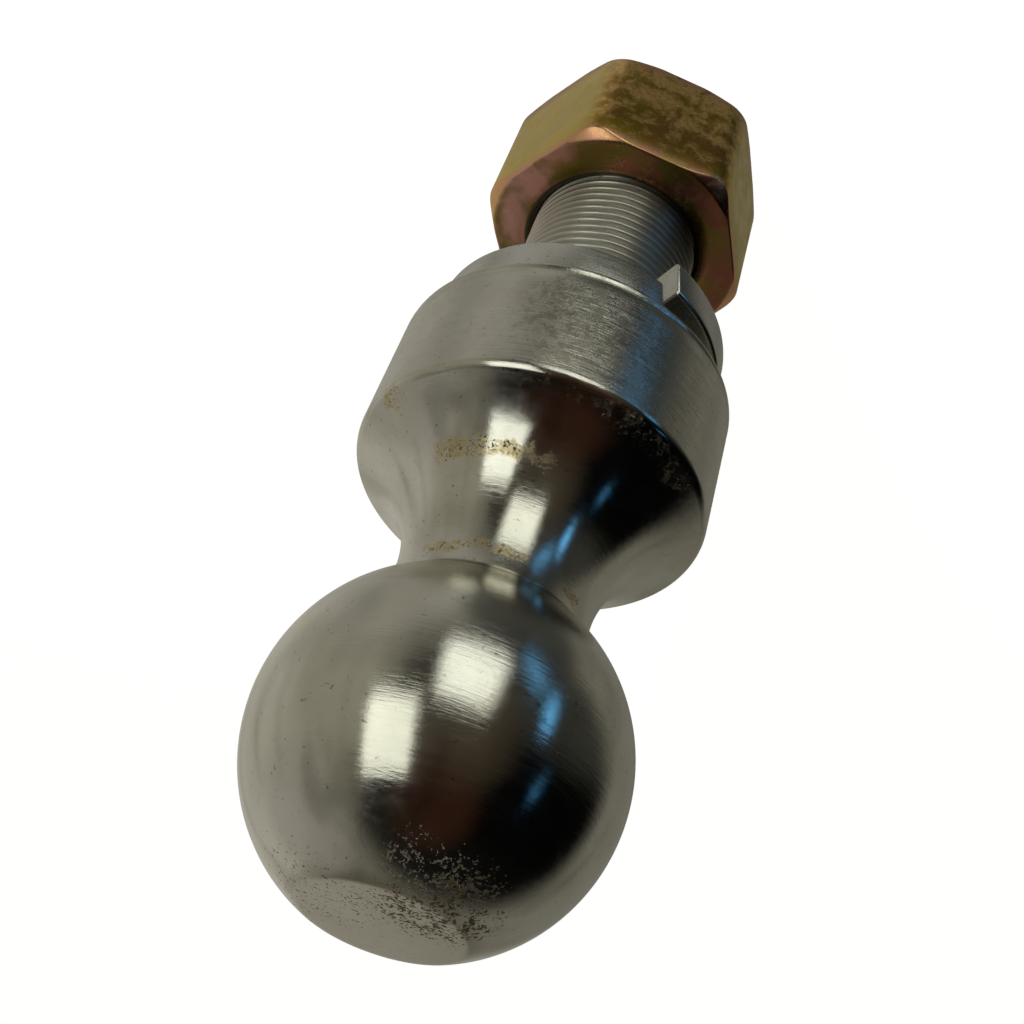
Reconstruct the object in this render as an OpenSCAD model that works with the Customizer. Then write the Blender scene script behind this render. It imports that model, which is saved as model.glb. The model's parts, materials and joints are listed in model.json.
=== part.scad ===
// Gooseneck hitch ball with its lock washer and nut, in millimetres.
// The origin is the centre of the seat, the flat underside of the base that rests on the
// hitch plate. The ball points up along +Z and the threaded shank hangs down along -Z.

/* [Ball] */
// Diameter of the ball
ball_d = 58.74; // [50:0.01:76]
// Height of the ball's centre above the seat
ball_height = 78.8; // [76:0.1:100]
// Diameter of the flat on the ball's crown
crown_flat_d = 25; // [10:1:36]

/* [Neck] */
// Diameter of the neck at its narrowest
neck_d = 33.5; // [28:0.5:40]
// Distance from the ball's centre down to the narrowest place
neck_drop = 29; // [28:0.5:31]
// Radius of the hollow between the ball and the flare
neck_hollow_r = 26.3; // [20:0.1:26.3]

/* [Base] */
// Diameter of the base
base_d = 63.5; // [60:0.5:76]
// Height of the base's straight side
base_h = 26; // [18:0.1:27]
// Chamfer round the seat's edge
seat_chamfer = 0.4; // [0.2:0.1:2]

/* [Shank] */
// Diameter over the shank's threads
shank_d = 34.925; // [30:0.005:36]
// Length of the shank below the seat
shank_l = 82.55; // [78:0.05:110]
// Chamfer at the shank's free end
shank_chamfer = 2; // [1:0.1:4]

/* [Nut] */
// Width of the nut across its flats
nut_flats = 50.8; // [48:0.1:58]
// Height of the nut
nut_h = 29.8; // [24:0.1:30]
// Distance from the seat down to the nut's near face
nut_drop = 46.35; // [30:0.05:47]
// Gap all round between the nut's bore and the shank
nut_bore_gap = 0.08; // [0.05:0.01:0.5]
// How much wider than the bore the countersink is, on radius
nut_countersink = 1.3; // [0.5:0.1:2]
// Angle of the chamfer on the nut's corners
nut_chamfer_angle = 36; // [20:1:40]

/* [Lock washer] */
// Outer diameter of the washer
washer_d = 56.4; // [52:0.1:58]
// Gap all round between the washer's bore and the shank
washer_bore_gap = 0.4; // [0.3:0.05:1]
// Thickness of the spring section at its outer edge
washer_outer_t = 7.2; // [6:0.1:9]
// Thickness of the spring section at its inner edge
washer_inner_t = 8; // [6:0.1:10]
// How far the coil climbs from one cut end to the other
washer_rise = 7.8; // [4:0.1:8]
// Distance from the seat down to the washer's nearest edge
washer_drop = 2.05; // [2.05:0.05:6]
// Direction of the cut, seen from above, from +X towards +Y
washer_cut_angle = -109.5; // [-180:0.5:180]
// Width of the cut, as an angle
washer_cut_width = 3; // [2:0.5:10]
// Slant of the cut ends, as an angle round the coil
washer_cut_slant = 4; // [0:0.5:8]

/* [Hidden] */
$fn = 96;
ball_r = ball_d / 2;
base_r = base_d / 2;
shank_r = shank_d / 2;
neck_z = ball_height - neck_drop;
// The hollow is never larger than one that reaches the base's rim.
flare_w = base_r - neck_d / 2;
flare_h = neck_z - base_h;
hollow_r = min(neck_hollow_r, (pow(flare_w, 2) + pow(flare_h, 2)) / (2 * flare_w) - 0.05);
hollow_x = neck_d / 2 + hollow_r;
crown_z = ball_height + sqrt(pow(ball_r, 2) - pow(crown_flat_d / 2, 2));
// The neck's outline ends inside the ball, two thirds of a radius below its centre.
neck_top_z = ball_height - ball_r * 2 / 3;

// A short straight cone leads from the base's rim into the hollow, which it meets at a tangent.
rim_to_centre = [hollow_x - base_r, neck_z - base_h];
tangent_l = sqrt(pow(norm(rim_to_centre), 2) - pow(hollow_r, 2));
tangent_angle = atan2(rim_to_centre[1], rim_to_centre[0]) + asin(hollow_r / norm(rim_to_centre));
tangent_point = [base_r, base_h] + tangent_l * [cos(tangent_angle), sin(tangent_angle)];

nut_bore_r = shank_r + nut_bore_gap;
nut_mouth_r = nut_bore_r + nut_countersink;
nut_corner_r = nut_flats / sqrt(3);
// The chamfer leaves a round face a little wider than the flats, so it cuts the corners alone.
nut_face_r = nut_flats * 0.51;
nut_chamfer_h = (nut_corner_r - nut_face_r) * tan(nut_chamfer_angle);

washer_bore_r = shank_r + washer_bore_gap;
washer_r = washer_d / 2;
washer_steps = 60;
washer_turn = 360 - washer_cut_width;
// The coil is swept a little wide, then trimmed to true round walls.
washer_trim = 1;

module ball_outline() {
    intersection() {
        translate([0, ball_height]) circle(r = ball_r);
        translate([0, neck_z]) square([ball_r, crown_z - neck_z]);
    }
}

module body_outline() {
    difference() {
        polygon([
            [0, -shank_l],
            [shank_r - shank_chamfer, -shank_l],
            [shank_r, shank_chamfer - shank_l],
            [shank_r, 0],
            [base_r - seat_chamfer, 0],
            [base_r, seat_chamfer],
            [base_r, base_h],
            tangent_point,
            [hollow_x, neck_z],
            [hollow_x, neck_top_z],
            [0, neck_top_z]
        ]);
        translate([hollow_x, neck_z]) circle(r = hollow_r);
    }
}

// One forging: ball, neck, flare, base and threaded shank.
module ball_stud() {
    color("silver")
    rotate_extrude() {
        ball_outline();
        body_outline();
    }
}

// One cross-section of the coil, at a share t of the way round, as four corners.
// A corner's height also shifts it round the coil, which slants the cut ends.
function coil_corner(t, r, z, slant) =
    let (
        turn = washer_cut_angle + washer_cut_width / 2 + t * washer_turn + slant,
        height = -washer_drop - washer_inner_t / 2 - t * washer_rise + z
    )
    [r * cos(turn), r * sin(turn), height];

function coil_ring(t) =
    let (
        slope = (washer_inner_t - washer_outer_t) / (washer_r - washer_bore_r),
        inner = (washer_inner_t + slope * washer_trim) / 2,
        outer = (washer_outer_t - slope * washer_trim) / 2,
        low_slant = washer_cut_slant / 2
    )
    [
        coil_corner(t, washer_bore_r - washer_trim, -inner, low_slant),
        coil_corner(t, washer_r + washer_trim, -outer, low_slant),
        coil_corner(t, washer_r + washer_trim, outer, -low_slant),
        coil_corner(t, washer_bore_r - washer_trim, inner, -low_slant)
    ];

module coil() {
    corners = [for (i = [0:washer_steps]) each coil_ring(i / washer_steps)];
    last = 4 * washer_steps;
    sides = [
        for (i = [0:washer_steps - 1], k = [0:3])
            let (a = 4 * i + k, b = 4 * i + (k + 1) % 4)
            each [[a, b, b + 4], [a, b + 4, a + 4]]
    ];
    ends = [[3, 2, 1, 0], [last, last + 1, last + 2, last + 3]];
    polyhedron(points = corners, faces = concat(sides, ends), convexity = 4);
}

// Split spring washer: a left-hand coil of keystone section, free on the shank.
module lock_washer() {
    reach = washer_drop + washer_inner_t + washer_rise + 2;
    color("lightgray")
    intersection() {
        coil();
        translate([0, 0, -reach])
        difference() {
            cylinder(r = washer_r, h = reach);
            translate([0, 0, -1]) cylinder(r = washer_bore_r, h = reach + 2);
        }
    }
}

module nut_turned_outline() {
    polygon([
        [0, 0],
        [nut_face_r, 0],
        [nut_corner_r, nut_chamfer_h],
        [nut_corner_r, nut_h - nut_chamfer_h],
        [nut_face_r, nut_h],
        [0, nut_h]
    ]);
}

// Hexagon nut, chamfered on both faces and countersunk at both ends of the bore.
module hex_nut() {
    color("darkkhaki")
    translate([0, 0, -nut_drop - nut_h])
    difference() {
        intersection() {
            cylinder(r = nut_corner_r, h = nut_h, $fn = 6);
            rotate_extrude() nut_turned_outline();
        }
        translate([0, 0, -1]) cylinder(r = nut_bore_r, h = nut_h + 2);
        cylinder(r1 = nut_mouth_r, r2 = nut_bore_r, h = nut_countersink);
        translate([0, 0, nut_h - nut_countersink])
        cylinder(r1 = nut_bore_r, r2 = nut_mouth_r, h = nut_countersink);
    }
}

ball_stud();
lock_washer();
hex_nut();
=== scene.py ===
"""Looks for the gooseneck hitch ball: a plated ball stud, its split lock washer and its yellow nut.

Everything is in metres in the CAD frame. The origin is the centre of the seat, and +Z points to the ball.
"""

import json
from math import acos, asin, atan2, cos, degrees, floor, pi, radians, sin, sqrt, tan

import bpy
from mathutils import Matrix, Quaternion, Vector


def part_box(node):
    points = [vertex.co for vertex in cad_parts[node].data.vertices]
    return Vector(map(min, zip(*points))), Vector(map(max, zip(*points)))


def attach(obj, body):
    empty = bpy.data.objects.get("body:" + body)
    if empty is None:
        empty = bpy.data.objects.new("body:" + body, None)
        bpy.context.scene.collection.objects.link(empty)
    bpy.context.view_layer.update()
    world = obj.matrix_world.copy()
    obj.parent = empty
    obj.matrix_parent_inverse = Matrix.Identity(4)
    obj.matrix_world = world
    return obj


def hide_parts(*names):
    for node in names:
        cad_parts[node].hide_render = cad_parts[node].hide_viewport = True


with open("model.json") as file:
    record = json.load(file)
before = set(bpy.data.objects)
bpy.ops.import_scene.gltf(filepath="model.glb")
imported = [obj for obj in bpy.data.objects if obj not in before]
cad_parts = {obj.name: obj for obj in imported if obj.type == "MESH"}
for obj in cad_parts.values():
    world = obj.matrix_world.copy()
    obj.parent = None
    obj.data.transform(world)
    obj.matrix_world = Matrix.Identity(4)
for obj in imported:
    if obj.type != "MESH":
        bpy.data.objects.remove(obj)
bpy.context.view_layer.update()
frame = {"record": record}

MM = 0.001

# ---------------------------------------------------------------- sizes

stud_low, stud_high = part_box("ball_stud")
washer_low, washer_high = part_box("lock_washer")
nut_low, nut_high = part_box("hex_nut")
mounts = {m["name"]: m for m in frame["record"]["mounts"]}
joints = {j["name"]: j for j in frame["record"]["behaviour"]["joints"]}

BALL_Z = mounts["ball"]["pos_m"][2]
BALL_R = 29.37 * MM
CROWN_Z = stud_high.z
CROWN_FLAT_R = sqrt(BALL_R**2 - (CROWN_Z - BALL_Z) ** 2)
SHANK_END_Z = stud_low.z
BASE_R = stud_high.x
BASE_TOP_Z = 26.0 * MM
NECK_R = 16.75 * MM
NECK_Z = BALL_Z - 29.0 * MM
NECK_HOLLOW_R = 26.3 * MM
NECK_FILLET_R = 1.8 * MM
CROWN_EDGE_R = 0.5 * MM
EDGE_R = 0.35 * MM
TOP_RIM_R = 3.4 * EDGE_R
BOTTOM_RIM_R = 2 * EDGE_R
GROOVE_DEPTH = 0.2 * MM
GROOVE_WIDTH = 2.0 * MM

SHANK_R = 17.4625 * MM
SHANK_CHAMFER = 2.0 * MM
PITCH = 25.4 / 12 * MM
THREAD_DEPTH = 0.6134 * PITCH
THREAD_START_Z = -2.5 * MM
# Where the crest ends and the root begins, as shares of half a pitch
THREAD_CREST = 0.30
THREAD_ROOT = 0.86

WASHER_R = washer_high.x
WASHER_BORE_R = 17.8625 * MM
WASHER_OUTER_T = 7.2 * MM
WASHER_INNER_T = 8.0 * MM
WASHER_TOP_Z = washer_high.z
WASHER_RISE = washer_high.z - washer_low.z - WASHER_INNER_T
WASHER_CUT = radians(-109.5)
WASHER_CUT_WIDTH = radians(3)
WASHER_CUT_SLANT = radians(4)
WASHER_CORNER_R = 0.8 * MM
WASHER_CUT_EDGE_R = 0.45 * MM

NUT_TOP_Z = nut_high.z
NUT_BOTTOM_Z = nut_low.z
NUT_FLAT_R = nut_high.y
NUT_FACE_R = 1.02 * NUT_FLAT_R
NUT_CORNER_ROUND = 6.2 * MM
NUT_EDGE_R = 0.35 * MM
# How far back the middle of a rounded edge stands, as a share of its radius
NUT_EDGE_SET_BACK = 0.28
NUT_CHAMFER_ANGLE = radians(36)
NUT_MOUTH_R = 18.84 * MM
NUT_THREAD_GAP = 0.1 * MM
NUT_TRAVEL = joints["nut_travel"]["range_m"][1]

TURN = 2 * pi


# ---------------------------------------------------------------- mesh helpers

def make_piece(name, points, faces, material, sharp_angle):
    """A smooth-shaded mesh object, with crisp edges where faces turn by more than sharp_angle degrees."""
    mesh = bpy.data.meshes.new(name)
    mesh.from_pydata(points, [], faces)
    mesh.validate()
    mesh.update()
    mesh.polygons.foreach_set("use_smooth", [True] * len(mesh.polygons))
    mesh.set_sharp_from_angle(angle=radians(sharp_angle))
    mesh.materials.append(material)
    piece = bpy.data.objects.new(name, mesh)
    bpy.context.scene.collection.objects.link(piece)
    return piece


def grid_faces(rows, columns, first=0, close_rows=False):
    """Quads over rows of points, closed round the columns. They face out if the rows go down."""
    faces = []
    for i in range(rows if close_rows else rows - 1):
        for j in range(columns):
            a = first + i * columns + j
            b = first + i * columns + (j + 1) % columns
            c = first + (i + 1) % rows * columns + (j + 1) % columns
            d = first + (i + 1) % rows * columns + j
            faces.append((d, c, b, a))
    return faces


def arc(centre_r, centre_z, radius, start, end, steps):
    """Points (r, z) on an arc, with its angles in degrees from the +r direction towards +z."""
    angles = [radians(start + (end - start) * i / steps) for i in range(steps + 1)]
    return [(centre_r + radius * cos(a), centre_z + radius * sin(a)) for a in angles]


def spread(start, end, steps):
    """Points evenly spaced from start to end, leaving out start itself."""
    return [start + (end - start) * (i + 1) / steps for i in range(steps)]


def line(start, end, steps):
    """Points (r, z) from start to end, leaving out start itself."""
    return list(zip(spread(start[0], end[0], steps), spread(start[1], end[1], steps)))


def thread_profile(turns):
    """How deep a 60 degree thread is cut, from 0 on the crest to 1 in the root, at a phase in turns."""
    phase = abs(turns - floor(turns) - 0.5) * 2
    share = min(max((phase - THREAD_CREST) / (THREAD_ROOT - THREAD_CREST), 0), 1)
    rounded = share * share * (3 - 2 * share)
    return rounded * 0.35 + share * 0.65


def thread_radius(angle, z):
    """Radius of the shank's right-hand thread at a point on it."""
    fade = min(max((THREAD_START_Z - z) / PITCH, 0), 1)
    return SHANK_R - THREAD_DEPTH * fade * thread_profile(z / PITCH - angle / TURN)


# ---------------------------------------------------------------- ball stud

def rounded_corner(before, corner, after, radius, steps=4):
    """Points (r, z) that round a corner of an outline with a curve that starts radius away from it."""
    corner = Vector(corner)
    start = corner + (Vector(before) - corner).normalized() * radius
    end = corner + (Vector(after) - corner).normalized() * radius
    curve = []
    for i in range(steps + 1):
        t = i / steps
        point = start * (1 - t) ** 2 + corner * 2 * t * (1 - t) + end * t**2
        curve.append((point.x, point.y))
    return curve


def stud_outline():
    """The outline (r, z) from the crown down to where the shank meets the seat."""
    hollow_r = NECK_R + NECK_HOLLOW_R

    # A small fillet touches the ball from outside and the neck's hollow from inside its metal.
    to_ball = BALL_R + NECK_FILLET_R
    to_hollow = NECK_HOLLOW_R - NECK_FILLET_R
    across = Vector((hollow_r, NECK_Z - BALL_Z))
    reach = across.length
    along = (reach**2 + to_ball**2 - to_hollow**2) / (2 * reach)
    side = sqrt(to_ball**2 - along**2)
    unit = across.normalized()
    fillet = Vector((unit.x * along + unit.y * side, unit.y * along - unit.x * side))
    fillet_to_hollow = across - fillet
    ball_end = degrees(atan2(fillet.y, fillet.x))
    hollow_start = degrees(atan2(-fillet_to_hollow.y, -fillet_to_hollow.x)) % 360

    # The flare's straight part touches the hollow and ends on the base's rim.
    rim = Vector((BASE_R, BASE_TOP_Z))
    to_centre = Vector((hollow_r, NECK_Z)) - rim
    tangent = sqrt(to_centre.length**2 - NECK_HOLLOW_R**2)
    tangent_angle = atan2(to_centre.y, to_centre.x) + asin(NECK_HOLLOW_R / to_centre.length)
    flare_top = rim + Vector((cos(tangent_angle), sin(tangent_angle))) * tangent
    hollow_end = degrees(atan2(flare_top.y - NECK_Z, flare_top.x - hollow_r)) % 360

    crown_angle = degrees(acos(CROWN_FLAT_R / BALL_R))
    crown_edge = (CROWN_FLAT_R, CROWN_Z)
    down_ball = (CROWN_FLAT_R + 1 * MM, CROWN_Z - 0.5 * MM)
    crown = rounded_corner((0, CROWN_Z), crown_edge, down_ball, CROWN_EDGE_R)
    ball = arc(0, BALL_Z, BALL_R, crown_angle - 1.2, ball_end, 90)
    hollow = arc(hollow_r, NECK_Z, NECK_HOLLOW_R, hollow_start, hollow_end, 34)
    fillet_start = degrees(atan2(-fillet.y, -fillet.x)) % 360
    turn = (hollow_start - fillet_start + 180) % 360 - 180
    bead = arc(fillet.x, BALL_Z + fillet.y, NECK_FILLET_R, fillet_start, fillet_start + turn, 6)
    top_rim = rounded_corner(flare_top, rim, (BASE_R, 0), TOP_RIM_R, 8)
    bottom_rim = rounded_corner((BASE_R, BASE_TOP_Z), (BASE_R, 0), (0, 0), BOTTOM_RIM_R)
    lip_z = bottom_rim[0][1]
    shares = [i / 8 for i in range(9)]
    groove = [(BASE_R - GROOVE_DEPTH * sin(pi * t), lip_z + GROOVE_WIDTH * (1 - t)) for t in shares]

    outline = [(CROWN_FLAT_R * share, CROWN_Z) for share in (0.25, 0.5, 0.75, 0.9)]
    outline += crown
    outline += ball
    outline += bead[1:-1]
    outline += hollow
    outline += line(tuple(flare_top), top_rim[0], 8)
    outline += top_rim[1:]
    outline += line(top_rim[-1], (BASE_R, top_rim[-1][1] - EDGE_R), 1)
    outline += line(outline[-1], groove[0], 14)
    outline += groove[1:]
    outline += bottom_rim[1:]
    outline += line(bottom_rim[-1], (SHANK_R, 0), 6)
    return outline


def add_threaded_shank(points, faces, columns, top_ring):
    """Adds the shank to the mesh, from the seat's inner edge to its chamfered end. Returns the last ring.

    The rows run along the thread's helix, so its crests are smooth. A row ends one pitch above its start.
    """
    per_pitch = 16
    first_z = -PITCH - 0.3 * MM
    end_r = SHANK_R - SHANK_CHAMFER
    rows = int((first_z + PITCH - SHANK_END_Z) / PITCH * per_pitch) + 3

    def place(row, column):
        z = first_z + PITCH * (column / columns - row / per_pitch)
        angle = TURN * column / columns
        # A point that would pass the end lies flat on it instead, drawn in so that no two points meet.
        past_end = max(SHANK_END_Z - z, 0)
        r = min(thread_radius(angle, z), end_r + z + past_end - SHANK_END_Z) - 0.5 * past_end
        points.append((r * cos(angle), r * sin(angle), z + past_end))

    seam_start = len(points)
    for row in range(per_pitch):
        place(row, columns)
    start = len(points)
    for row in range(rows):
        for column in range(columns):
            place(row, column)
    end_ring = len(points)
    for share in (0.85, 0.6, 0.3):
        for j in range(columns):
            angle = TURN * j / columns
            points.append((end_r * share * cos(angle), end_r * share * sin(angle), SHANK_END_Z))

    def at(row, column):
        """The point on a row at a column, where the column after the last one is the seam."""
        if column < columns:
            return start + row * columns + column
        return seam_start + row if row < per_pitch else start + (row - per_pitch) * columns

    first_turn = [at(row, columns) for row in range(per_pitch)]
    faces.append((*first_turn, at(0, 0), at(0, 1), top_ring + 1, top_ring))
    for j in range(1, columns):
        faces.append((at(0, j), at(0, j + 1), top_ring + (j + 1) % columns, top_ring + j))
    for row in range(rows - 1):
        for j in range(columns):
            faces.append((at(row + 1, j), at(row + 1, j + 1), at(row, j + 1), at(row, j)))
    for j in range(columns - 1):
        faces.append((end_ring + j, end_ring + j + 1, at(rows - 1, j + 1), at(rows - 1, j)))
    last_turn = [at(row, 0) for row in range(rows - 1, rows - 2 - per_pitch, -1)]
    faces.append((end_ring + columns - 1, end_ring, *last_turn, at(rows - 1, columns - 1)))
    faces += grid_faces(3, columns, end_ring)
    return end_ring + 2 * columns


def make_stud(material):
    """The whole forging as one closed mesh: crown, ball, neck, flare, base, seat and threaded shank."""
    columns = 192
    points = []
    outline = stud_outline()
    for r, z in outline:
        points += [(r * cos(TURN * j / columns), r * sin(TURN * j / columns), z) for j in range(columns)]
    faces = grid_faces(len(outline), columns)
    last_ring = add_threaded_shank(points, faces, columns, (len(outline) - 1) * columns)
    crown_pole, end_pole = len(points), len(points) + 1
    points += [(0, 0, CROWN_Z), (0, 0, SHANK_END_Z)]
    for j in range(columns):
        k = (j + 1) % columns
        faces.append((crown_pole, j, k))
        faces.append((end_pole, last_ring + k, last_ring + j))
    return make_piece("ball_stud_forging", points, faces, material, sharp_angle=75)


# ---------------------------------------------------------------- lock washer

def washer_section():
    """The coil's keystone section, corners rounded, as (r, z) about the section's middle."""
    corners = [
        (WASHER_BORE_R, -WASHER_INNER_T / 2),
        (WASHER_R, -WASHER_OUTER_T / 2),
        (WASHER_R, WASHER_OUTER_T / 2),
        (WASHER_BORE_R, WASHER_INNER_T / 2),
    ]
    section = []
    for i in range(4):
        section += rounded_corner(corners[i - 1], corners[i], corners[(i + 1) % 4], WASHER_CORNER_R)
    return section


def make_washer(material):
    """A left-hand spring coil of just under one turn, with slanted cut ends."""
    section = washer_section()
    steps = 220
    points = []
    for i in range(steps + 1):
        t = i / steps
        height = WASHER_TOP_Z - WASHER_INNER_T / 2 - WASHER_RISE * t
        turn = WASHER_CUT + WASHER_CUT_WIDTH / 2 + t * (TURN - WASHER_CUT_WIDTH)
        for r, z in section:
            angle = turn - WASHER_CUT_SLANT * z / WASHER_INNER_T
            points.append((r * cos(angle), r * sin(angle), height + z))
    columns = len(section)
    faces = grid_faces(steps + 1, columns)
    faces.append(tuple(range(columns)))
    faces.append(tuple(reversed(range(steps * columns, (steps + 1) * columns))))
    piece = make_piece("lock_washer_coil", points, faces, material, sharp_angle=40)
    bevel = piece.modifiers.new("cut_edges", "BEVEL")
    bevel.width = WASHER_CUT_EDGE_R
    bevel.segments = 2
    bevel.limit_method = "ANGLE"
    bevel.angle_limit = radians(60)
    return piece


# ---------------------------------------------------------------- nut

def hex_radius(angle):
    """Radius of the hexagon's outline, corners rounded, at an angle where 0 is a corner."""
    off = abs((angle + pi / 6) % (pi / 3) - pi / 6)
    centre = (NUT_FLAT_R - NUT_CORNER_ROUND) / cos(pi / 6)
    limit = atan2(NUT_CORNER_ROUND * 0.5, centre + NUT_CORNER_ROUND * cos(pi / 6))
    if off < limit:
        return centre * cos(off) + sqrt(NUT_CORNER_ROUND**2 - (centre * sin(off)) ** 2)
    return NUT_FLAT_R / cos(pi / 6 - off)


def make_nut(material):
    """The nut as one closed mesh: threaded bore, countersinks, faces, corner chamfers and sides."""
    # Degrees from a corner to the middle of a flat: closest together where the corner turns.
    corner_steps = [0, 0.3, 0.6, 0.9, 1.2, 1.6, 2.2, 3.2, 4.6, 6.4, 8.6, 11, 13.6, 16.4, 19.4, 22.6, 26]
    sector = corner_steps + [30] + [60 - s for s in reversed(corner_steps[1:])]
    angles = [radians(60 * k + s) for k in range(6) for s in sector]
    height = NUT_TOP_Z - NUT_BOTTOM_Z
    middle = (NUT_TOP_Z + NUT_BOTTOM_Z) / 2
    soft = NUT_EDGE_R
    set_back = soft * NUT_EDGE_SET_BACK

    def chamfer_drop(r):
        return max(r - NUT_FACE_R, 0) * tan(NUT_CHAMFER_ANGLE)

    def end_rows(side):
        """Rows from the countersink's mouth out to the top of the side walls, at one end of the nut."""
        face = middle + side * height / 2
        rows = [[(a, NUT_MOUTH_R, face - side * soft / 2) for a in angles]]
        rows.append([(a, NUT_MOUTH_R + soft / 2, face) for a in angles])
        for share in (0.35, 0.7):
            rows.append([(a, NUT_MOUTH_R + share * (NUT_FACE_R - NUT_MOUTH_R), face) for a in angles])
        for inset in (2, 0.8, 0):
            row = []
            for a in angles:
                r = min(NUT_FACE_R + soft * (1 - inset), hex_radius(a) - soft * (1 + inset))
                row.append((a, r, face - side * chamfer_drop(r)))
            rows.append(row)
        outer = []
        edge = []
        wall = []
        for a in angles:
            r = hex_radius(a)
            outer.append((a, r - soft, face - side * chamfer_drop(r - soft)))
            edge.append((a, r - set_back, face - side * (chamfer_drop(r) + set_back)))
            wall.append((a, r, face - side * (chamfer_drop(r) + soft)))
        return rows + [outer, edge, wall]

    top = end_rows(1)
    bottom = end_rows(-1)
    sides = []
    for share in (0.25, 0.5, 0.75):
        sides.append([
            (a, ra, za + (zb - za) * share) for (a, ra, za), (_, _, zb) in zip(top[-1], bottom[-1])
        ])
    bore = []
    rows_per_pitch = 12
    bore_rows = int(height / PITCH * rows_per_pitch)
    for i in range(1, bore_rows):
        z = NUT_BOTTOM_Z + height * i / bore_rows
        depth = min(z - NUT_BOTTOM_Z, NUT_TOP_Z - z)
        row = []
        for a in angles:
            r = max(thread_radius(a, z) + NUT_THREAD_GAP, NUT_MOUTH_R - depth)
            row.append((a, min(r, NUT_MOUTH_R), z))
        bore.append(row)
    rows = top + sides + list(reversed(bottom)) + bore
    points = [(r * cos(a), r * sin(a), z) for row in rows for a, r, z in row]
    faces = grid_faces(len(rows), len(angles), close_rows=True)
    return make_piece("hex_nut_forging", points, faces, material, sharp_angle=50)


# ---------------------------------------------------------------- material helpers

class Nodes:
    """Short calls that add shader nodes to a material or a world."""

    def __init__(self, owner):
        owner.use_nodes = True
        self.tree = owner.node_tree
        self.tree.nodes.clear()

    def add(self, kind, inputs=None, **settings):
        """A node with its settings. Each input is a plain value or another node's output."""
        node = self.tree.nodes.new(kind)
        for key, value in settings.items():
            setattr(node, key, value)
        for key, value in (inputs or {}).items():
            if isinstance(value, bpy.types.NodeSocket):
                self.tree.links.new(value, node.inputs[key])
            else:
                node.inputs[key].default_value = value
        return node

    def math(self, operation, a, b=0.0, clamp=False):
        return self.add("ShaderNodeMath", {0: a, 1: b}, operation=operation, use_clamp=clamp).outputs[0]

    def plus(self, a, b):
        return self.math("ADD", a, b)

    def minus(self, a, b):
        return self.math("SUBTRACT", a, b)

    def times(self, a, b):
        return self.math("MULTIPLY", a, b)

    def apart(self, a, b):
        """How far two values are from each other, either way."""
        return self.math("ABSOLUTE", self.minus(a, b))

    def highest(self, values):
        """The highest of several values at each point."""
        total = values[0]
        for value in values[1:]:
            total = self.math("MAXIMUM", total, value)
        return total

    def ramp(self, value, low, high, to_low=0.0, to_high=1.0):
        """A value moved smoothly from one range to another."""
        inputs = {"Value": value, "From Min": low, "From Max": high, "To Min": to_low, "To Max": to_high}
        return self.add("ShaderNodeMapRange", inputs, interpolation_type="SMOOTHSTEP").outputs[0]

    def noise(self, vector, scale, detail=4.0, roughness=0.55, distortion=0.0):
        inputs = {"Vector": vector, "Scale": scale, "Detail": detail, "Roughness": roughness}
        return self.add("ShaderNodeTexNoise", {**inputs, "Distortion": distortion}).outputs["Fac"]

    def mix(self, share, a, b):
        """Colour a with a share of colour b laid over it."""
        return self.add("ShaderNodeMix", {0: share, 6: a, 7: b}, data_type="RGBA").outputs[2]

    def vector(self, x, y, z):
        return self.add("ShaderNodeCombineXYZ", {"X": x, "Y": y, "Z": z}).outputs[0]

    def bump(self, height, strength, distance, over=None, invert=False):
        """A surface's normal raised by a height, laid over the normal of another bump if one is given."""
        inputs = {"Height": height, "Strength": strength, "Distance": distance}
        if over is not None:
            inputs["Normal"] = over
        return self.add("ShaderNodeBump", inputs, invert=invert).outputs[0]

    def finish(self, **sockets):
        """The surface shader and the material's output."""
        inputs = {key.replace("_", " "): value for key, value in sockets.items()}
        shader = self.add("ShaderNodeBsdfPrincipled", inputs)
        self.add("ShaderNodeOutputMaterial", {"Surface": shader.outputs[0]})


def turned_coordinates(nodes):
    """A point's position, radius and height in millimetres, and its azimuth in radians."""
    position = nodes.add("ShaderNodeTexCoord").outputs["Object"]
    scaled = nodes.add("ShaderNodeVectorMath", {0: position, 3: 1 / MM}, operation="SCALE").outputs[0]
    x, y, z = nodes.add("ShaderNodeSeparateXYZ", {0: scaled}).outputs
    radius = nodes.math("SQRT", nodes.plus(nodes.times(x, x), nodes.times(y, y)))
    azimuth = nodes.math("ARCTAN2", y, x)
    return scaled, radius, azimuth, z


def turning_marks(nodes, radius, azimuth, z, along, across):
    """Coordinates that draw noise out along the direction of turning: long along the marks, fine across."""
    around_x = nodes.times(nodes.math("COSINE", azimuth), along)
    around_y = nodes.times(nodes.math("SINE", azimuth), along)
    outward = nodes.times(nodes.plus(z, nodes.times(radius, 0.83)), across)
    return nodes.vector(around_x, around_y, outward)


def patch(nodes, position, centre, reach, strength=1.0):
    """A strength at a point given in millimetres, falling smoothly to 0 at a reach from it."""
    between = nodes.add("ShaderNodeVectorMath", {0: position, 1: centre}, operation="DISTANCE")
    return nodes.ramp(between.outputs["Value"], 0.3 * reach, reach, strength, 0)


# ---------------------------------------------------------------- materials

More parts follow.
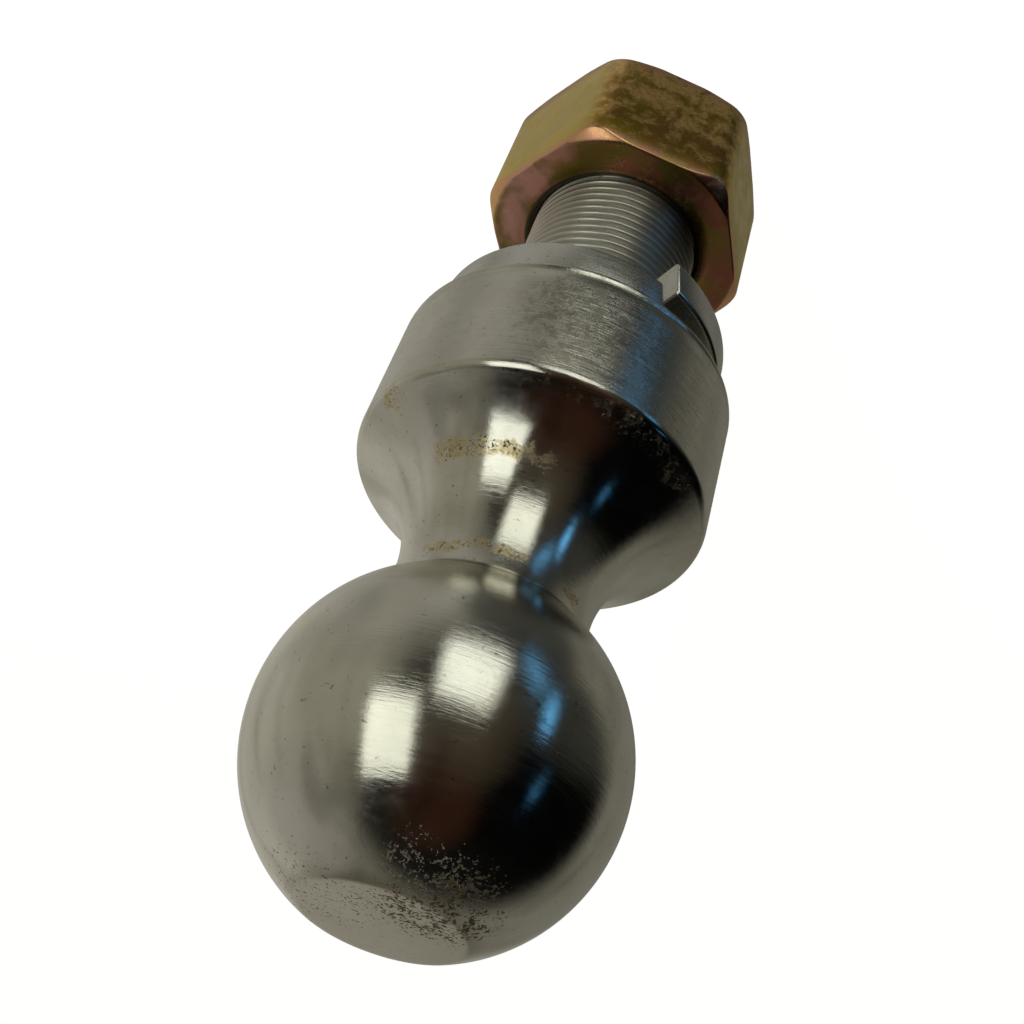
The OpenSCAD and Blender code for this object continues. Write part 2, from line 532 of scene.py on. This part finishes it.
# Colours are linear. Heights and radii in the materials are in millimetres.
# Bright zinc, and what dirt and rust lay over it
STUD_ZINC = (0.67, 0.655, 0.60, 1)
WASHER_ZINC = (0.66, 0.655, 0.62, 1)
DULL_SHARE = (0.88, 0.87, 0.84)
SMEAR = (0.50, 0.46, 0.36, 1)
SPECK = (0.20, 0.15, 0.09, 1)
WALL_STAIN = (0.17, 0.15, 0.12, 1)
CROWN_DIRT = (0.30, 0.26, 0.20, 1)
RUST_FILM = (0.56, 0.42, 0.15, 1)
RUST_CRUST = (0.19, 0.125, 0.06, 1)
MARK_DEPTH = 0.085 * MM
PIT_DEPTH = 0.08 * MM

# The nut's yellow coat: its sides, its end faces and the rims between them; and the painted shade in its
# bore
GOLD = (0.77, 0.55, 0.115, 1)
GREEN_GOLD = (0.69, 0.52, 0.14, 1)
TAN = (0.94, 0.60, 0.22, 1)
RUST_BROWN = (0.62, 0.36, 0.11, 1)
OLIVE = (0.37, 0.26, 0.015, 1)
RED_BROWN = (0.42, 0.21, 0.05, 1)
WINE = (0.48, 0.18, 0.125, 1)
DARK_WINE = (0.35, 0.14, 0.085, 1)
PINK = (0.95, 0.50, 0.42, 1)
FACE_OLIVE = (0.29, 0.215, 0.055, 1)
RIM_PINK = (0.88, 0.40, 0.31, 1)
RIM_GOLD = (0.72, 0.46, 0.22, 1)
BORE_PAINTED_SHADE = (0.14, 0.12, 0.08, 1)
NUT_GRAIN_DEPTH = 0.07 * MM


def plated_steel(name, tint, roughness, worn):
    """Turned steel with bright zinc plating: turning marks and smears and, if worn, stains and rust."""
    material = bpy.data.materials.new(name)
    nodes = Nodes(material)
    position, radius, azimuth, z = turned_coordinates(nodes)
    marks = nodes.noise(turning_marks(nodes, radius, azimuth, z, 4.5, 2.6), 1.0, 4.0, 0.7)
    feed = nodes.noise(turning_marks(nodes, radius, azimuth, z, 2.0, 0.8), 1.0, 2.0, 0.6)
    clouds = nodes.noise(position, 0.07, 3.0, 0.55)
    smears = nodes.noise(position, 0.30, 5.0, 0.62, 0.8)
    specks = nodes.noise(position, 1.1, 3.0, 0.6)

    dull_tint = (*(channel * share for channel, share in zip(tint, DULL_SHARE)), 1)
    colour = nodes.mix(nodes.ramp(clouds, 0.35, 0.65), tint, dull_tint)
    colour = nodes.mix(nodes.ramp(smears, 0.56, 0.75, 0, 0.3), colour, SMEAR)
    colour = nodes.mix(nodes.ramp(specks, 0.66, 0.71, 0, 0.65), colour, SPECK)
    rough = nodes.ramp(marks, 0.25, 0.75, roughness - 0.03, roughness + 0.05)
    rough = nodes.plus(rough, nodes.ramp(smears, 0.5, 0.75, 0, 0.05))

    # The marks are deepest on the base's straight wall.
    wall = nodes.times(nodes.ramp(z, 25.0, 26.0, 1, 0), nodes.ramp(z, -0.4, 0.2))
    height = nodes.plus(nodes.times(marks, 0.75), nodes.times(feed, 0.4))
    height = nodes.times(height, nodes.ramp(wall, 0, 1, 1, 2.1))
    normal = nodes.bump(height, 0.5, MARK_DEPTH)
    metal = 1.0
    if worn:
        scores = nodes.times(wall, nodes.ramp(marks, 0.48, 0.60, 0, 0.06))
        rough = nodes.plus(rough, scores)
        colour, rough = stained(nodes, position, z, wall, colour, rough)
        film, crust = rust_masks(nodes, position, azimuth, z)
        colour = nodes.mix(nodes.times(film, 0.62), colour, RUST_FILM)
        colour = nodes.mix(crust, colour, RUST_CRUST)
        rough = nodes.highest([rough, nodes.times(film, 0.30), nodes.times(crust, 0.6)])
        dull = nodes.math("ADD", nodes.times(film, 0.25), nodes.times(crust, 0.6), clamp=True)
        metal = nodes.minus(1.0, dull)
        normal = nodes.bump(crust, 0.5, PIT_DEPTH, over=normal, invert=True)

    # Light spreads across the turning marks more than along them.
    tangent = nodes.add("ShaderNodeTangent", direction_type="RADIAL", axis="Z").outputs[0]
    spread_across = {"Anisotropic": 0.6, "Anisotropic_Rotation": 0.25}
    shading = {"Metallic": metal, "Roughness": rough, "Normal": normal, "Tangent": tangent}
    nodes.finish(Base_Color=colour, **shading, **spread_across)
    return material


def stained(nodes, position, z, wall, colour, rough):
    """Colour and roughness with a stain on the wall, a dulled crown flat and a duller threaded shank."""
    blotches = nodes.ramp(nodes.noise(position, 0.45, 6.0, 0.7, 0.4), 0.44, 0.60)
    stain = nodes.times(nodes.times(patch(nodes, position, (2, -31.7, 12), 17), wall), blotches)
    colour = nodes.mix(nodes.times(stain, 0.75), colour, WALL_STAIN)
    colour = nodes.mix(nodes.ramp(z, 104.0, 105.2, 0, 0.45), colour, CROWN_DIRT)
    rough = nodes.plus(rough, nodes.times(stain, 0.15))
    rough = nodes.plus(rough, nodes.ramp(z, -1.8, -0.6, 0.20, 0))
    return colour, rough


def rust_masks(nodes, position, azimuth, z):
    """Thin golden rust and dark crusted specks: broken rings round the flare and neck, and the crown."""
    turn = nodes.times(azimuth, 180 / pi)
    fine = nodes.noise(position, 1.9, 4.0, 0.70)
    patches = nodes.noise(position, 0.22, 3.0, 0.6)
    smudge = nodes.noise(position, 0.55, 6.0, 0.7)
    wander = nodes.times(nodes.minus(patches, 0.5), 5.0)

    def band(height, half_width, middle, half_span, strength=1.0):
        """A stretch of a ring at a height in millimetres, about a middle azimuth in degrees."""
        off = nodes.apart(nodes.plus(z, wander), height)
        away = nodes.apart(turn, middle)
        share = nodes.ramp(off, half_width * 0.3, half_width, strength, 0)
        return nodes.times(share, nodes.ramp(away, half_span * 0.75, half_span, 1, 0))

    rings = [
        band(34.6, 2.4, -62, 34),
        band(27.3, 1.5, -120, 32, 0.62),
        band(27.5, 1.2, -72, 26, 0.5),
        band(51.0, 1.9, -64, 36),
        band(51.6, 1.8, -127, 9),
        patch(nodes, position, (28, -12, 27), 5, 0.8),
    ]
    everywhere = 0.16
    spots = [
        patch(nodes, position, (-5, -10, 105), 17),
        patch(nodes, position, (9, -2, 105), 18, 0.72),
        patch(nodes, position, (1, -18, 102), 7, 0.75),
        patch(nodes, position, (23, -11, 94), 11, 0.42),
        patch(nodes, position, (4, -31.7, 16), 14, 0.5),
        everywhere,
    ]
    ring = nodes.highest(rings)
    clusters = nodes.ramp(smudge, 0.36, 0.58, 0.55, 1.08)
    spot = nodes.times(nodes.highest(spots), clusters)
    film = nodes.ramp(nodes.plus(smudge, nodes.times(ring, 0.30)), 0.66, 0.86)
    film = nodes.times(film, nodes.ramp(ring, 0.05, 0.6))
    film = nodes.highest([film, nodes.times(spot, 0.14)])
    reach = nodes.highest([nodes.times(ring, 0.25), nodes.times(spot, 0.32)])
    crust = nodes.ramp(nodes.plus(fine, reach), 0.80, 0.86)
    return film, crust


def yellow_zinc(name):
    """Yellow chromate over zinc: gold flats, two of them brown and mottled, and red and olive ends."""
    material = bpy.data.materials.new(name)
    nodes = Nodes(material)
    position, radius, azimuth, z = turned_coordinates(nodes)
    clouds = nodes.noise(position, 0.08, 3.0, 0.55, 0.3)
    mottle = nodes.noise(position, 0.27, 6.0, 0.68, 0.3)
    grain = nodes.noise(position, 1.6, 4.0, 0.7)
    patches = nodes.noise(position, 0.11, 3.0, 0.5, 0.5)

    # The flat facing -Y and the one facing +Y are brown, powdery where it is tan. Their dark olive and
    # red-brown patches are partly the coat's own colour and partly painted shade.
    brown_side = nodes.ramp(nodes.math("ABSOLUTE", nodes.math("SINE", azimuth)), 0.80, 0.89)
    olive_share = nodes.ramp(nodes.plus(mottle, nodes.ramp(z, -76, -48, -0.07, 0.07)), 0.40, 0.62)
    gold = nodes.mix(nodes.ramp(clouds, 0.35, 0.65), GOLD, GREEN_GOLD)
    light_brown = nodes.mix(nodes.ramp(grain, 0.35, 0.65), TAN, RUST_BROWN)
    # Partly painted shade: the dark olive and red-brown patches, more of them towards +Z.
    dark_brown_and_painted_shade = nodes.mix(nodes.ramp(clouds, 0.40, 0.60), OLIVE, RED_BROWN)
    sides = nodes.mix(brown_side, gold, nodes.mix(olive_share, light_brown, dark_brown_and_painted_shade))
    powder = nodes.times(brown_side, nodes.minus(1.0, olive_share))

    # The end faces are wine red with olive patches, and pink towards +X.
    towards_x = nodes.ramp(nodes.times(radius, nodes.math("COSINE", azimuth)), 8, 24)
    red = nodes.mix(nodes.ramp(clouds, 0.42, 0.58), WINE, DARK_WINE)
    red = nodes.mix(towards_x, red, PINK)
    face = nodes.mix(nodes.ramp(patches, 0.38, 0.66), red, FACE_OLIVE)
    rim = nodes.mix(nodes.ramp(patches, 0.48, 0.68), RIM_PINK, RIM_GOLD)

    middle = (NUT_TOP_Z + NUT_BOTTOM_Z) / 2 / MM
    half = (NUT_TOP_Z - NUT_BOTTOM_Z) / 2 / MM
    from_middle = nodes.apart(z, middle)
    near_face = nodes.ramp(from_middle, half - 3.4, half - 1.2)
    on_face = nodes.ramp(from_middle, half - 0.5, half - 0.1)
    in_bore = nodes.ramp(radius, 18.9, 19.4, 1, 0)
    colour = nodes.mix(nodes.times(near_face, 0.62), sides, rim)
    colour = nodes.mix(on_face, colour, face)
    # Painted shade: the countersink and the threaded bore are painted dark brown for the shade inside the
    # nut.
    colour = nodes.mix(in_bore, colour, BORE_PAINTED_SHADE)
    rough = nodes.ramp(mottle, 0.35, 0.7, 0.24, 0.40)
    metal = nodes.minus(1.0, nodes.times(powder, 0.34))
    height = nodes.plus(mottle, nodes.times(grain, 0.35))
    normal = nodes.bump(height, 0.3, NUT_GRAIN_DEPTH)
    nodes.finish(Base_Color=colour, Metallic=metal, Roughness=rough, Normal=normal)
    return material


# ---------------------------------------------------------------- pieces

stud_metal = plated_steel("plated_steel", STUD_ZINC, 0.145, worn=True)
washer_metal = plated_steel("washer_steel", WASHER_ZINC, 0.24, worn=False)
nut_metal = yellow_zinc("yellow_zinc")

stud = make_stud(stud_metal)
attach(stud, "ball_stud")
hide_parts("ball_stud")

washer = make_washer(washer_metal)
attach(washer, "lock_washer")
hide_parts("lock_washer")

nut = make_nut(nut_metal)
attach(nut, "hex_nut")
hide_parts("hex_nut")


# ---------------------------------------------------------------- stage

FLOOR_HALF = 3.0
FLOOR_GAP = 0.02 * MM
WHITE = (1, 1, 1, 1)
BLACK = (0, 0, 0, 1)
WINDOW_WHITE = (0.96, 1.0, 0.90)
WINDOW_RADIANCE = 1.42
COLD_BLUE = (0.12, 0.50, 1.0)
LAMP_DISTANCE = 0.55
LENS_MM = 43.94
SENSOR_MM = 36
CAMERA_AZIMUTH = -84.46
CAMERA_ELEVATION = 38.78
CAMERA_ROLL = -160.72
CAMERA_AIM = Vector((0.00166, 0.0001, 0.02994))
CAMERA_DISTANCE = 0.2173


def direction(azimuth, elevation):
    """A unit vector from angles in degrees: azimuth from +X towards +Y, elevation above the horizon."""
    a, e = radians(azimuth), radians(elevation)
    return Vector((cos(a) * cos(e), sin(a) * cos(e), sin(e)))


def look_back(towards, roll):
    """The rotation of a lamp or camera that looks back along a direction, rolled by an angle in degrees."""
    return (-towards).to_track_quat("-Z", "Y") @ Quaternion((0, 0, 1), radians(roll))


def make_floor():
    """A plain pale floor for the camera alone, low enough for the nut to come off the shank above it."""
    z = NUT_BOTTOM_Z - NUT_TRAVEL - FLOOR_GAP
    corners = [(x * FLOOR_HALF, y * FLOOR_HALF, z) for x, y in ((-1, -1), (1, -1), (1, 1), (-1, 1))]
    mesh = bpy.data.meshes.new("floor")
    mesh.from_pydata(corners, [], [(0, 1, 2, 3)])
    material = bpy.data.materials.new("pale_floor")
    glow = {"Emission_Color": WHITE, "Emission_Strength": 0.9}
    Nodes(material).finish(Base_Color=(0.8, 0.8, 0.8, 1), Roughness=0.9, **glow)
    mesh.materials.append(material)
    piece = bpy.data.objects.new("floor", mesh)
    bpy.context.scene.collection.objects.link(piece)
    piece.visible_glossy = False
    piece.visible_diffuse = False
    piece.visible_shadow = False


def make_surroundings():
    """The room that the metal mirrors: dark towards the camera, pale behind. The camera sees white."""
    world = bpy.data.worlds.new("studio")
    bpy.context.scene.world = world
    nodes = Nodes(world)
    ray = nodes.add("ShaderNodeTexCoord").outputs["Generated"]

    def glow(azimuth, elevation, low, high, strength=1.0):
        """A share that grows to a strength as the cosine of the angle to a middle goes from low to high."""
        ends = {0: ray, 1: direction(azimuth, elevation)}
        facing = nodes.add("ShaderNodeVectorMath", ends, operation="DOT_PRODUCT")
        return nodes.ramp(facing.outputs["Value"], low, high, 0, strength)

    def dimmed(colour, scales, detail, distortion, low, high, strength):
        """A colour with soft shadows, from noise that has its own scale along each axis."""
        stretched = nodes.add("ShaderNodeMapping", {0: ray, 3: scales}).outputs[0]
        shadows = nodes.noise(stretched, 1.0, detail, 0.5, distortion)
        return nodes.mix(nodes.ramp(shadows, low, high, 0, strength), colour, BLACK)

    dark_ground = ((0.040, 0.041, 0.034, 1), glow(-120, -70, 0.25, 0.55))
    warm_front = ((0.055, 0.043, 0.028, 1), glow(-88, 6, 0.70, 0.97))
    red_front = ((0.058, 0.022, 0.012, 1), glow(-92, 52, 0.86, 0.97, 0.5))
    pale_half = ((0.205, 0.200, 0.165, 1), glow(62, -20, -0.37, -0.05))
    pale_side = ((0.315, 0.300, 0.240, 1), glow(0, 5, 0.50, 0.85))
    bright_back = ((0.470, 0.455, 0.395, 1), glow(58, -4, 0.48, 0.86))
    pale_high = ((0.330, 0.315, 0.280, 1), glow(25, 36, 0.80, 0.95, 0.75))
    pale_low = ((0.400, 0.392, 0.350, 1), glow(-4, -57, 0.80, 0.95, 0.8))
    dark_low = ((0.032, 0.034, 0.030, 1), glow(-125, -68, 0.875, 0.95, 0.85))
    layers = [
        dark_ground, warm_front, red_front, pale_half, pale_side, bright_back, pale_high, pale_low, dark_low
    ]
    colour = (0.0006, 0.0006, 0.0007, 1)
    for layer, share in layers:
        colour = nodes.mix(share, colour, layer)
    colour = dimmed(colour, (2.2, 2.2, 0.7), 3.0, 0.4, 0.52, 0.68, 0.32)
    colour = dimmed(colour, (4.6, 4.6, 0.5), 2.0, 0.0, 0.50, 0.60, 0.18)

    room = nodes.add("ShaderNodeBackground", {"Color": colour, "Strength": 1.0})
    backdrop = nodes.add("ShaderNodeBackground", {"Color": WHITE, "Strength": 1.0})
    seen = nodes.add("ShaderNodeLightPath").outputs["Is Camera Ray"]
    both = nodes.add("ShaderNodeMixShader", {0: seen, 1: room.outputs[0], 2: backdrop.outputs[0]})
    nodes.add("ShaderNodeOutputWorld", {"Surface": both.outputs[0]})


def make_softbox(name, azimuth, elevation, width, height, colour, radiance, roll=0):
    """A rectangular light aimed at the ball, as bright whatever its size."""
    light = bpy.data.lights.new(name, "AREA")
    light.shape = "RECTANGLE"
    light.size = width
    light.size_y = height
    light.color = colour
    light.energy = radiance * width * height * pi
    lamp = bpy.data.objects.new(name, light)
    bpy.context.scene.collection.objects.link(lamp)
    towards = direction(azimuth, elevation)
    lamp.location = Vector((0, 0, BALL_Z)) + towards * LAMP_DISTANCE
    lamp.rotation_mode = "QUATERNION"
    lamp.rotation_quaternion = look_back(towards, roll)
    lamp.visible_camera = False


def make_camera():
    """The camera looks down on the ball's side of the part, rolled nearly upside down."""
    data = bpy.data.cameras.new("camera")
    data.sensor_width = SENSOR_MM
    data.lens = LENS_MM
    data.clip_start = 0.01
    camera = bpy.data.objects.new("camera", data)
    bpy.context.scene.collection.objects.link(camera)
    towards = direction(CAMERA_AZIMUTH, CAMERA_ELEVATION)
    camera.location = CAMERA_AIM + towards * CAMERA_DISTANCE
    camera.rotation_mode = "QUATERNION"
    camera.rotation_quaternion = look_back(towards, CAMERA_ROLL)
    bpy.context.scene.camera = camera


make_floor()
make_surroundings()
make_softbox("window_left", -52.2, 20.5, 0.256, 0.42, WINDOW_WHITE, WINDOW_RADIANCE)
make_softbox("window_right", -86.5, -22.0, 0.305, 0.335, WINDOW_WHITE, WINDOW_RADIANCE)
make_softbox("blue_strip_high", -134, -20, 0.055, 0.17, COLD_BLUE, 1.3)
make_softbox("blue_strip_low", -122, -37, 0.05, 0.16, COLD_BLUE, 1.2, roll=32)
make_softbox("blue_spot", -144, 14, 0.05, 0.10, COLD_BLUE, 0.30)
make_camera()
bpy.context.scene.view_settings.view_transform = "Standard"
